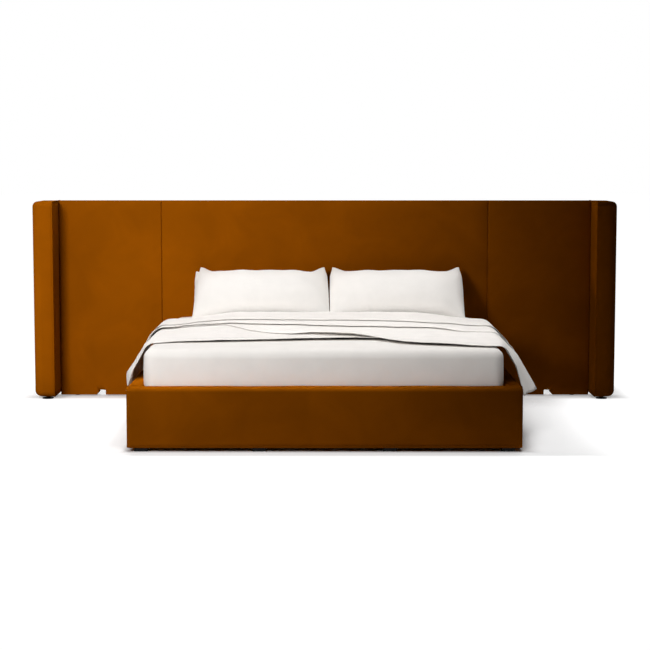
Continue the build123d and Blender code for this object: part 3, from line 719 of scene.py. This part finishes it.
# Mattress and fitted sheet
def mattress_mesh(name, grow, low_cut=None):
    """The crowned mattress, or a skin a little outside it."""
    margin = Vector((grow, grow, grow))
    low, high = MATTRESS_BOX[0] - margin, MATTRESS_BOX[1] + margin
    bm = box_mesh(low, high)
    round_edges(bm, lambda m, w: runs(w, Z), MATTRESS_CORNER + grow, 12)
    level = lambda m, w, z: abs(m.z - z) < NEAR and not runs(w, Z)
    round_edges(bm, lambda m, w: level(m, w, high.z), MATTRESS_EDGE + grow, 9)
    round_edges(bm, lambda m, w: level(m, w, low.z), MATTRESS_FOOT_EDGE + grow, 5)
    for axis in (X, Y):
        slice_mesh(bm, axis, MATTRESS_PITCH, MATTRESS_CORNER + MATTRESS_PAST_ROUND)
    slice_mesh(bm, Z, MATTRESS_SIDE_PITCH, MATTRESS_EDGE + MATTRESS_PAST_ROUND)
    if low_cut is not None:
        geometry = bm.verts[:] + bm.edges[:] + bm.faces[:]
        bmesh.ops.bisect_plane(
            bm, geom=geometry, plane_co=(0, 0, low_cut), plane_no=(0, 0, 1), clear_inner=True
        )
    return from_bmesh(name, bm)


def swell(obj):
    """The slow unevenness of a filled mattress, and its head corners pressed down."""
    points, along = coordinates(obj.data), coordinates(obj.data, "normal")
    side = 1 - np.abs(along[:, Z])
    height = (points[:, Z] - MATTRESS_BOTTOM) / (MATTRESS_TOP - MATTRESS_BOTTOM)
    belly = np.clip(1 - (2 * height - 1) ** 2, 0, 1)
    wave = noise(points, SWELL_WAVE_LENGTH, MATTRESS_SEED)
    points += along * ((side * belly + wave) * SWELL_DEPTH)[:, None]
    head = smooth(points[:, Y] - FRONT_Y, 1.70, 2.02) * smooth(np.abs(points[:, X]), 0.72, 0.95)
    points[:, Z] -= HEAD_SINK * head * smooth(height, 0.7, 1.0)
    points[:, X] -= MATTRESS_SHIFT
    place(obj.data, points)


def crease(obj):
    """Faint pulls at the foot corners and along the lower hem of the fitted sheet."""
    points, along = coordinates(obj.data), coordinates(obj.data, "normal")
    beside = np.maximum(MATTRESS_HALF - np.abs(points[:, X]), 0)
    behind = np.abs(points[:, Y] - MATTRESS_BOX[0].y)
    near = np.exp(-(np.minimum(beside, 1) + np.minimum(behind, 1)) / CREASE_RUN)
    low = smooth(MATTRESS_TOP - points[:, Z], 0.02, 0.14)
    ripple = np.sin(points @ (95, 70, 26))
    place(obj.data, points + along * (CREASE_DEPTH * near * low * (ripple + 1))[:, None])


def thicken(obj, thickness):
    """Gives an open cloth its thickness, outward."""
    modifier = obj.modifiers.new("cloth", "SOLIDIFY")
    modifier.thickness = thickness
    modifier.offset = 1.0
    modifier.use_even_offset = True
    apply_modifiers(obj)


def mattress():
    bed = mattress_mesh("mattress_body", -BODY_INSET)
    swell(bed)
    finish_piece(bed, TICKING, "ticking", "mattress")
    skin = mattress_mesh("fitted_sheet_cloth", SKIN_OUT, SKIN_BOTTOM)
    swell(skin)
    crease(skin)
    thicken(skin, SKIN_THICKNESS)
    finish_piece(skin, SHEET, "white_sheet", "fitted_sheet")


# Sheets that hang over the rails
def rounded_path(points, radii):
    """A line through the points, with an arc of the given radius at each inner one."""
    path = [np.array(points[0], float)]
    for before, corner, after, radius in zip(points, points[1:], points[2:], radii):
        before, corner, after = (np.array(p, float) for p in (before, corner, after))
        first = (before - corner) / np.linalg.norm(before - corner)
        second = (after - corner) / np.linalg.norm(after - corner)
        angle = np.arccos(np.clip(first @ second, -1, 1))
        reach = radius / np.tan(angle / 2)
        middle = (first + second) / np.linalg.norm(first + second)
        center = corner + middle * radius / np.sin(angle / 2)
        start = corner + first * reach - center
        end = corner + second * reach - center
        for i in range(ARC_STEPS + 1):
            t = i / ARC_STEPS
            blend = start * (1 - t) + end * t
            path.append(center + blend / np.linalg.norm(blend) * radius)
    path.append(np.array(points[-1], float))
    return np.array(path)


def fold_wave(behind, side):
    """How far a fold stands out at a distance behind the footboard, from 0 to 1: uneven folds."""
    share = (behind - FOLD_START) / (CLOTH_HEAD - FOLD_START)
    count, phase = (3.6, 0.30) if side < 0 else (1.3, 0.18)
    return (1 - cos(2 * pi * (count * share + phase + 0.07 * sin(7 * share)))) / 2


def side_path(offset, behind, side, hem_z):
    """The cloth's line from the middle of the bed over one side, in X and Z.

    Near the footboard the cloth hangs close to the rail, and further back it is loose.
    """
    fold = fold_wave(behind, side)
    if side < 0:
        loose = float(smooth(behind, 0.32, 0.60))
        corner_x, bend_x, bend_z = 0.965, 1.041 + 0.066 * loose, 0.390 - 0.045 * loose
        hem_x = bend_x + 0.024 - 0.045 * loose + 0.014 * fold
    else:
        loose = float(smooth(behind, 0.20, 0.66))
        corner_x, bend_x, bend_z = 0.962, 1.028 + 0.056 * loose, 0.418 + 0.024 * loose
        hem_x = bend_x + 0.042 + 0.064 * loose * (0.85 + 0.15 * fold)
    line = [
        (0, MATTRESS_TOP + offset),
        (corner_x + LOOSE_OUT * loose + offset, MATTRESS_TOP + offset),
        (bend_x + offset, bend_z + offset),
        (hem_x + offset, hem_z - LOOSE_RISE * loose),
    ]
    return rounded_path(line, [MATTRESS_EDGE + LOOSE_OUT * loose + offset, DRAPE_ROUND])


def hanging_rows(rows, columns, hems):
    """A grid of points from rows of (behind, offset) arrays, one value for each column."""
    behind, offset = rows
    grid = np.zeros((*behind.shape, 3))
    for j, place_across in enumerate(columns):
        side = -1 if place_across < 0 else 1
        reach = abs(place_across)
        for i in range(behind.shape[0]):
            path = side_path(offset[i, j], behind[i, j], side, hems[side])
            steps = np.linalg.norm(np.diff(path, axis=0), axis=1)
            along = np.concatenate([[0], np.cumsum(steps)])
            hanging = max(reach - 1, 0) * (steps.sum() - FLAT_HALF)
            walked = min(reach, 1) * FLAT_HALF + hanging
            x, z = (np.interp(walked, along, path[:, k]) for k in range(2))
            grid[i, j] = (side * x, FRONT_Y + behind[i, j], z)
    return grid


def grid_object(name, grid):
    rows, columns = grid.shape[:2]
    faces = []
    for i in range(rows - 1):
        for j in range(columns - 1):
            a = i * columns + j
            faces.append((a, a + 1, a + columns + 1, a + columns))
    mesh = bpy.data.meshes.new(name)
    mesh.from_pydata(grid.reshape(-1, 3).tolist(), [], faces)
    mesh.update()
    mesh.shade_smooth()
    return new_object(name, mesh)


def columns_across(flat_count, side_count):
    """Places across a cloth: -2 and 2 are its side hems, -1 to 1 its flat part."""
    side = np.linspace(1, 2, side_count + 1)[1:]
    flat = np.linspace(-1, 1, flat_count + 1)
    return np.concatenate([-side[::-1], flat, side])


def hem_lift(distance, height, run):
    """How far a hem stands off what it lies on, by the distance from the edge."""
    return height * np.exp(-(distance / run) ** 1.5)


def puff(x, behind):
    """The bedding's fullness: none at the mattress's edges, most in the middle near the pillows."""
    across = smooth(MATTRESS_HALF - np.abs(x), 0.0, 0.45)
    return across * (0.007 + 0.036 * smooth(behind, 0.7, 1.65))


def wrinkles(x, behind):
    """The long shallow wrinkles that cross the upper bedding and fade at both ends."""
    total = 0
    for center, start, end, width, height, slope in (
        (1.03, -0.50, -0.10, 0.020, 0.007, -0.02),
        (0.91, -0.47, 0.25, 0.030, 0.010, -0.22),
        (1.22, -0.60, 0.75, 0.040, 0.003, 0.0),
        (1.52, -0.50, 0.60, 0.050, 0.005, 0.02),
    ):
        line = center + slope * (x - start)
        fade = 0.3 * (end - start)
        along = smooth(x, start, start + fade) * (1 - smooth(x, end - fade, end))
        steep = np.where(behind < line, 0.5, 1.6)
        total = total + height * along * np.exp(-((behind - line) / (width * steep)) ** 2)
    return total


def lay_cloth(name, columns, rows, hems):
    """A cloth from its rows, with fullness and wrinkles on top and ripples down the sides."""
    grid = hanging_rows(rows, columns, hems)
    flat = grid.reshape(-1, 3)
    x, behind = flat[:, X], flat[:, Y] - FRONT_Y
    on_top = smooth(flat[:, Z], MATTRESS_TOP - 0.05, MATTRESS_TOP)
    wave = CLOTH_WAVE * noise(flat * (1, 1, 0), CLOTH_WAVE_LENGTH, CLOTH_SEED)
    flat[:, Z] += on_top * (puff(x, behind) + wave + wrinkles(x, behind))
    low = smooth(MATTRESS_TOP - flat[:, Z], 0.06, 0.26)
    ripple = np.sin(behind * 44 + 1.3 * np.sin(behind * 9)) + 0.5 * np.sin(behind * 83 + 2)
    depth = np.where(x < 0, RIPPLE_LEFT, RIPPLE_RIGHT)
    flat[:, X] += np.sign(x) * low * depth * (ripple + 1.5)
    return grid_object(name, flat.reshape(grid.shape))


def curve_of(x, places):
    """A smooth line through (x, value) places."""
    xs, values = zip(*places)
    line = np.interp(x, xs, values)
    for _ in range(12):
        padded = np.concatenate([[line[0]], line, [line[-1]]])
        line = (padded[:-2] + padded[1:-1] * 2 + padded[2:]) / 4
    return line


def rows_between(start, end, count):
    """Rows that go from one line to another, closer together at both ends."""
    share = (1 - np.cos(np.linspace(0, pi, count))) / 2
    return start + share[:, None] * (end - start)


def folded_rows(front, head, back, counts, under, over, round_by, lifts):
    """Rows that run from a front hem to the head end, turn over, and come back on top."""
    head = np.full(len(front), head)
    there = rows_between(front, head, counts[0])
    low = under + hem_lift(there - front, lifts[0], LOW_HEM_RUN)
    again = rows_between(head, back, counts[1])
    high = over + hem_lift(again - back, lifts[1], TOP_HEM_RUN)
    turn = np.linspace(0, pi, 7)[1:-1, None]
    turn_behind = head + round_by * np.sin(turn)
    turn_offset = low[-1] + (high[0] - low[-1]) * (1 - np.cos(turn)) / 2
    return np.concatenate([there, turn_behind, again]), np.concatenate([low, turn_offset, high])


def flat_sheet(columns, x, front, second):
    """From its front hem to the pillows, then back over the coverlet as a narrow band."""
    front_lift = (0.0055 + 0.0045 * smooth(x, -0.45, 0.0)) * smooth(x, 0.50, 0.25)
    band_lift = 0.0012 * (1 - 0.7 * smooth(np.abs(x), 0.7, 0.9))
    rows = folded_rows(
        front, CLOTH_HEAD - 0.008, second, (110, 40),
        under=0.0022, over=0.0175, round_by=0.008, lifts=(front_lift, band_lift),
    )
    obj = lay_cloth("flat_sheet_cloth", columns, rows, {-1: 0.282, 1: 0.276})
    thicken(obj, 0.0016)
    finish_piece(obj, SHEET, "white_sheet", "flat_sheet")


def coverlet(columns, x, front, turned):
    """A thicker woven cover, pulled back askew, its head end turned back under the sheet."""
    raised = smooth(x, -0.28, 0.06) * (1 - smooth(x, 0.12, 0.42))
    front_lift = 0.0012 + 0.0043 * smooth(x, -0.28, 0.10) + 0.0110 * raised
    turned_lift = 0.0060 * (1 - 0.9 * smooth(x, 0.70, 0.84))
    rows = folded_rows(
        front, CLOTH_HEAD - 0.022, turned, (100, 50),
        under=0.0062, over=0.0122, round_by=0.004, lifts=(front_lift, turned_lift),
    )
    obj = lay_cloth("coverlet_cloth", columns, rows, {-1: 0.297, 1: 0.266})
    thicken(obj, 0.0026)
    finish_piece(obj, COVERLET, "white_coverlet", "coverlet")


def bedding():
    """The two loose cloths, from their edges' lines: (x, distance behind the footboard)."""
    columns = columns_across(140, 30)
    reach = np.abs(columns)
    flat, hanging = np.minimum(reach, 1) * FLAT_HALF, np.maximum(reach - 1, 0) * SIDE_SHARE
    x = np.sign(columns) * (flat + hanging)
    sheet_front = curve_of(x, [
        (-1.3, 0.34), (-0.97, 0.36), (-0.88, 0.40), (-0.80, 0.43), (-0.54, 0.46),
        (-0.25, 0.50), (0.03, 0.545), (0.195, 0.56), (0.28, 0.55), (1.3, 0.55),
    ])
    coverlet_front = curve_of(x, [
        (-1.3, 1.22), (-0.62, 1.20), (-0.50, 1.04), (-0.38, 0.86), (-0.20, 0.80),
        (0.03, 0.74), (0.197, 0.68), (0.316, 0.50), (0.43, 0.35), (0.57, 0.28),
        (0.87, 0.18), (1.0, 0.19), (1.3, 0.26),
    ])
    turned = curve_of(x, [
        (-1.3, 1.15), (-0.95, 1.15), (-0.90, 1.18), (-0.79, 1.22), (-0.58, 1.17), (-0.30, 1.14),
        (0.03, 1.08), (0.42, 1.03), (0.68, 1.00), (0.735, 0.96), (0.82, 0.93), (1.3, 0.90),
    ])
    second = curve_of(x, [
        (-1.3, 1.30), (-0.80, 1.33), (-0.68, 1.34), (-0.56, 1.32), (-0.25, 1.29), (0.03, 1.28),
        (0.43, 1.23), (0.63, 1.20), (0.77, 1.25), (0.90, 1.25), (1.3, 1.30),
    ])
    flat_sheet(columns, x, sheet_front, second)
    coverlet(columns, x, coverlet_front, turned)


# Pillows
def pillow_bag(name, seed):
    """Two flat cloths joined all round, a little filled, ready to be inflated."""
    bm = bmesh.new()
    nx, ny = BAG_CELLS
    rng = np.random.default_rng(seed)
    grids = []
    for side in (-1, 1):
        grid = []
        for j in range(ny + 1):
            row = []
            for i in range(nx + 1):
                u, v = i / nx, j / ny
                rim = i in (0, nx) or j in (0, ny)
                if rim and side > 0:
                    row.append(grids[0][j][i])
                    continue
                lift = BAG_LIFT * (16 * u * (1 - u) * v * (1 - v)) ** 0.5
                lift += BAG_CREASE * rng.normal()
                where = ((u - 0.5) * BAG_WIDTH, (v - 0.5) * BAG_HEIGHT, 0 if rim else side * lift)
                row.append(bm.verts.new(where))
            grid.append(row)
        grids.append(grid)
    for side, grid in zip((-1, 1), grids):
        for j in range(ny):
            for i in range(nx):
                corners = [grid[j][i], grid[j][i + 1], grid[j + 1][i + 1], grid[j + 1][i]]
                bm.faces.new(corners if side > 0 else reversed(corners))
    return from_bmesh(name, bm)


def inflate(obj):
    """Fills the bag with air pressure, without gravity, and keeps the result."""
    modifier = obj.modifiers.new("fill", "CLOTH")
    settings = {
        "quality": 6, "mass": 0.25, "air_damping": 6,
        "tension_stiffness": 22, "compression_stiffness": 22,
        "shear_stiffness": 8, "bending_stiffness": 0.35,
        "use_pressure": True, "uniform_pressure_force": 1.6,
    }
    for key, value in settings.items():
        setattr(modifier.settings, key, value)
    modifier.settings.effector_weights.gravity = 0
    modifier.collision_settings.use_collision = False
    modifier.point_cache.frame_start = 1
    modifier.point_cache.frame_end = FILL_FRAMES
    scene = bpy.context.scene
    for number in range(1, FILL_FRAMES + 1):
        scene.frame_set(number)
    apply_modifiers(obj)
    scene.frame_set(1)


def shape_pillow(points, front, back, widths, tall, seed):
    """Sizes a filled bag, lets its top sag between its ears, and bends it over what is behind."""
    points -= (points.max(0) + points.min(0)) / 2
    size = np.ptp(points, axis=0)
    u, v = points[:, X] / size[X] * 2, points[:, Y] / size[Y] * 2
    wide = widths[0] + (widths[1] - widths[0]) * (v + 1) / 2
    wide += SIDE_BULGE * smooth(v, 1.0, 0.55) * smooth(v, -1.0, 0.2)
    points[:, X] *= wide / size[X]
    points[:, Y] *= PILLOW_HEIGHT * tall / size[Y]
    sag = EAR_SAG * smooth(v, -0.2, 1.0) * smooth(np.abs(u), 1.0, 0.76)
    uneven = np.sin(7.1 * u + seed) + np.sin(15.3 * u + 2 * seed)
    points[:, Y] -= sag * (0.92 + 0.06 * uneven)
    upper, lower = np.clip(1 - v * v, 0, 1) ** 1.25, np.clip(1 - np.abs(v) ** 2.4, 0, 1)
    arch = np.where(v > 0, upper, lower) * np.clip(1 - np.abs(u) ** 4, 0, 1)
    points[:, Z] *= (front + back) / 2 / np.abs(points[:, Z]).max()
    points[:, Z] += (front - back) / 2 * arch


def lean_back(points, center, setback, tall):
    """Stands a pillow on the mattress, leaning back, and flattens it where it rests."""
    up = (0, cos(PILLOW_LEAN), sin(PILLOW_LEAN))
    out = (0, -sin(PILLOW_LEAN), cos(PILLOW_LEAN))
    foot = (center, FRONT_Y + PILLOW_FOOT + setback, MATTRESS_TOP + PILLOW_CLEAR)
    height = points[:, Y] + PILLOW_HEIGHT / 2 * tall
    placed = foot + np.outer(points[:, X], (1, 0, 0))
    placed = placed + np.outer(height, up) + np.outer(points[:, Z], out)
    above = placed[:, Z] - REST_HEIGHT - REST_RUN
    squeezed = REST_HEIGHT + REST_RUN * np.exp(above / REST_RUN)
    placed[:, Z] = np.where(above < 0, squeezed, placed[:, Z])
    return placed


def pillow(node, center, widths, seed, setback, front, back, tall):
    """A filled pillow, leaning back, bent over what is behind it, with its ears left sharp."""
    obj = pillow_bag(f"{node}_case", seed)
    inflate(obj)
    points = coordinates(obj.data)
    shape_pillow(points, front, back, widths, tall, seed)
    place(obj.data, lean_back(points, center, setback, tall))
    modifier = obj.modifiers.new("smooth", "SUBSURF")
    modifier.levels = 1
    modifier.render_levels = 1
    apply_modifiers(obj)
    finish_piece(obj, PILLOW, "white_pillow", node)


def pillows():
    """Two pillows behind and two in front."""
    behind = {"setback": 0.022, "front": 0.028, "back": 0.078, "tall": 0.93}
    before = {"setback": 0.0, "front": 0.132, "back": -0.036, "tall": 1.02}
    pillow("pillow_back_left", -0.426, (0.840, 0.820), 31, **behind)
    pillow("pillow_back_right", 0.452, (0.840, 0.820), 32, **behind)
    pillow("pillow_front_left", -0.401, (0.884, 0.806), 33, **before)
    pillow("pillow_front_right", 0.458, (0.866, 0.826), 34, **before)


# The CAD nodes that stay: the first entry that starts or ends a node's name gives its material
NODE_MATERIALS = (
    ("center_legs", TIMBER_Z),
    ("center_beam", TIMBER_Y),
    ("head_rail", TIMBER_X),
    ("footboard_core", TIMBER_X),
    ("headboard_center_core", TIMBER_X),
    ("corner_brackets", BRACKET_STEEL),
    ("headboard_join_plates", BRACKET_STEEL),
    ("headboard_back_cloth", DUST_CLOTH),
    ("headboard_feet", PLASTIC),
    ("base_feet", PLASTIC),
    ("leveller_pad", PLASTIC),
    ("slat_ledger", TIMBER_Y),
    ("side_rail", TIMBER_Y),
    ("slat_", TIMBER_X),
    ("_core", TIMBER_Z),
    ("_foam", FOAM),
    ("", ZINC_STEEL),
)


def dress_nodes():
    for name, obj in frame["nodes"].items():
        chosen = next(
            material for part, material in NODE_MATERIALS
            if name.startswith(part) or name.endswith(part)
        )
        obj.data.materials.clear()
        obj.data.materials.append(chosen)


# Floor, light and camera
def calculated(material, operation, first, second):
    """A Math node's result, from a socket and a second socket or number."""
    node = add_node(material, "ShaderNodeMath", operation=operation)
    link(material, first, node.inputs[0])
    if isinstance(second, float):
        node.inputs[1].default_value = second
    else:
        link(material, second, node.inputs[1])
    return node.outputs["Value"]


def ramped(material, value, low, high, reach=1.0):
    """0 at low, the full reach at high, and an even turn between them."""
    node = add_node(
        material, "ShaderNodeMapRange", interpolation_type="SMOOTHSTEP",
        From_Min=low, From_Max=high, To_Max=reach,
    )
    link(material, value, node.inputs["Value"])
    return node.outputs["Result"]


def seen_rays(owner):
    """1 for rays that show a thing: straight from the camera, or by reflection or through glass."""
    path = add_node(owner, "ShaderNodeLightPath")
    value = path.outputs["Is Camera Ray"]
    for key in ("Is Glossy Ray", "Is Transmission Ray"):
        value = calculated(owner, "MAXIMUM", value, path.outputs[key])
    return value


def floor():
    """A white floor that takes the bed's shadow from the lamps. It glows to seen rays, but the glow
    fades to none towards the base, so a painted shadow lies round it, longest on the right. Further
    out it glows fully and is itself darker.
    """
    mesh = bpy.data.meshes.new("floor")
    mesh.from_pydata([(-40, -30, 0), (40, -30, 0), (40, 60, 0), (-40, 60, 0)], [], [(0, 1, 2, 3)])
    obj = new_object("floor", mesh)
    material, shader = principled("floor", (FLOOR_TONE,) * 3, 1.0, Specular_IOR_Level=0.0)
    result = lambda operation, *values: calculated(material, operation, *values)
    where = add_node(material, "ShaderNodeTexCoord")
    parts = add_node(material, "ShaderNodeSeparateXYZ")
    link(material, where.outputs["Object"], parts.inputs["Vector"])
    x, y = parts.outputs["X"], parts.outputs["Y"]
    # The distance from the base. It counts sooner on the left and in front, so the painted shadow
    # that the glow leaves round the base is longest on the right.
    right = result("SUBTRACT", x, RAIL_BOX[1].x)
    left = result("MULTIPLY", result("ADD", x, RAIL_BOX[1].x), -LEFT_PULL)
    before = result("MULTIPLY", result("SUBTRACT", y, FRONT_Y), -FRONT_PULL)
    after = result("SUBTRACT", y, CENTER_BOX[1].y + BEHIND_ROOM)
    away = result("MAXIMUM", result("MAXIMUM", right, left), result("MAXIMUM", before, after))
    near = ramped(material, away, 0.0, 0.12, NEAR_GLOW)
    far = ramped(material, away, 0.30, 0.62, FAR_GLOW)
    # No far glow under the headboard: the floor there stays dimmer, a painted shade under the
    # panels as well as the lit one
    beside = ramped(material, y, 0.98, 0.85)
    wide = ramped(material, result("ABSOLUTE", x, 0.0), 1.90, 2.05)
    behind = ramped(material, y, 1.30, 1.60)
    far = result("MULTIPLY", far, result("MAXIMUM", result("MAXIMUM", beside, wide), behind))
    tone = result("SUBTRACT", result("MULTIPLY", far, -FLOOR_DIMMING), -FLOOR_TONE)
    link(material, tone, shader.inputs["Base Color"])
    glow = add_node(material, "ShaderNodeEmission")
    strength = result("MULTIPLY", result("ADD", near, far), seen_rays(material))
    link(material, strength, glow.inputs["Strength"])
    both = add_node(material, "ShaderNodeAddShader")
    link(material, shader.outputs["BSDF"], both.inputs[0])
    link(material, glow.outputs["Emission"], both.inputs[1])
    surface = material.node_tree.nodes["Material Output"].inputs["Surface"]
    link(material, both.outputs["Shader"], surface)
    mesh.materials.append(material)


def world():
    """A faint even surround that is seen as white."""
    made = bpy.data.worlds.new("studio")
    bpy.context.scene.world = made
    made.use_nodes = True
    faint = made.node_tree.nodes["Background"]
    faint.inputs["Color"].default_value = (1.0, 0.985, 0.965, 1)
    faint.inputs["Strength"].default_value = SURROUND
    white = add_node(made, "ShaderNodeBackground", Color=(1, 1, 1, 1), Strength=1.0)
    choose = add_node(made, "ShaderNodeMixShader")
    link(made, seen_rays(made), choose.inputs["Fac"])
    link(made, faint.outputs["Background"], choose.inputs[1])
    link(made, white.outputs["Background"], choose.inputs[2])
    link(made, choose.outputs["Shader"], made.node_tree.nodes["World Output"].inputs["Surface"])


def area_light(name, position, target, size, power, spread):
    """A rectangular lamp that faces a target. Its spread is in degrees."""
    data = bpy.data.lights.new(name, "AREA")
    data.shape = "RECTANGLE"
    data.size, data.size_y = size
    data.energy = power
    data.spread = radians(spread)
    obj = new_object(name, data)
    obj.location = position
    way = Vector(target) - Vector(position)
    obj.rotation_euler = way.to_track_quat("-Z", "Y").to_euler()
    return obj


def gathered(name, chosen):
    """A collection, outside the scene's own, of the pieces that the test accepts."""
    group = bpy.data.collections.new(name)
    for obj in bpy.context.scene.objects:
        if obj.type == "MESH" and chosen(obj):
            group.objects.link(obj)
    return group


def lights():
    """Two sets of lamps: the velvet is lit closely from the left, the cloth evenly from above."""
    is_velvet = lambda obj: VELVET in list(obj.data.materials)
    velvet = gathered("lit_velvet", is_velvet)
    others = gathered("lit_others", lambda obj: not is_velvet(obj))
    area_light("behind", (0.0, 3.2, 3.0), (0.0, 0.0, 0.5), (5.0, 1.0), 36, 180)
    for name, position, target, size, power, spread in (
        ("velvet_key", (-2.3, -3.6, 2.5), (-1.20, 0.8, 0.7), (1.2, 1.2), 26, 55),
        ("velvet_side", (-4.2, 0.35, 1.2), (-1.8, 0.35, 0.6), (0.6, 0.6), 7.5, 70),
        ("velvet_front", (0.9, -5.4, 1.2), (-0.4, 1.0, 0.5), (1.6, 1.6), 1.2, 180),
        ("velvet_base", (-0.9, -4.6, 0.35), (-0.5, -1.1, 0.05), (1.2, 0.4), 0.3, 35),
        ("velvet_crown", (-0.6, 1.0, 3.4), (-0.6, 1.06, 0.0), (3.2, 0.2), 12, 60),
        ("velvet_foot", (-0.4, -1.5, 3.0), (-0.3, -1.08, 0.3), (2.2, 0.2), 8, 35),
        ("cloth_key", (-2.6, -4.0, 2.2), (-1.4, 0.6, 0.6), (1.2, 1.2), 26, 70),
        ("cloth_front", (0.2, -3.2, 3.2), (0.2, 0.0, 0.5), (1.4, 1.4), 22.5, 100),
        ("cloth_top_left", (-1.6, 1.9, 4.4), (-1.3, 0.2, 0.0), (1.6, 1.2), 28, 100),
        ("cloth_top_right", (1.6, 1.9, 4.4), (1.3, 0.2, 0.0), (1.6, 1.2), 12, 100),
        ("cloth_right", (1.5, -0.2, 3.2), (1.4, -0.1, 0.0), (1.4, 1.6), 9, 100),
    ):
        lamp = area_light(name, position, target, size, power, spread)
        group = velvet if name.startswith("velvet") else others
        lamp.light_linking.receiver_collection = group


def camera():
    data = bpy.data.cameras.new("camera")
    data.lens = CAMERA_LENS
    data.sensor_width = 36
    data.clip_end = 200
    obj = new_object("camera", data)
    obj.location = CAMERA_PLACE
    obj.rotation_euler = (radians(90 - CAMERA_DOWN), 0, 0)
    bpy.context.scene.camera = obj


upholstery()
mattress()
bedding()
pillows()
dress_nodes()
floor()
world()
lights()
camera()
bpy.context.scene.view_settings.view_transform = "Standard"
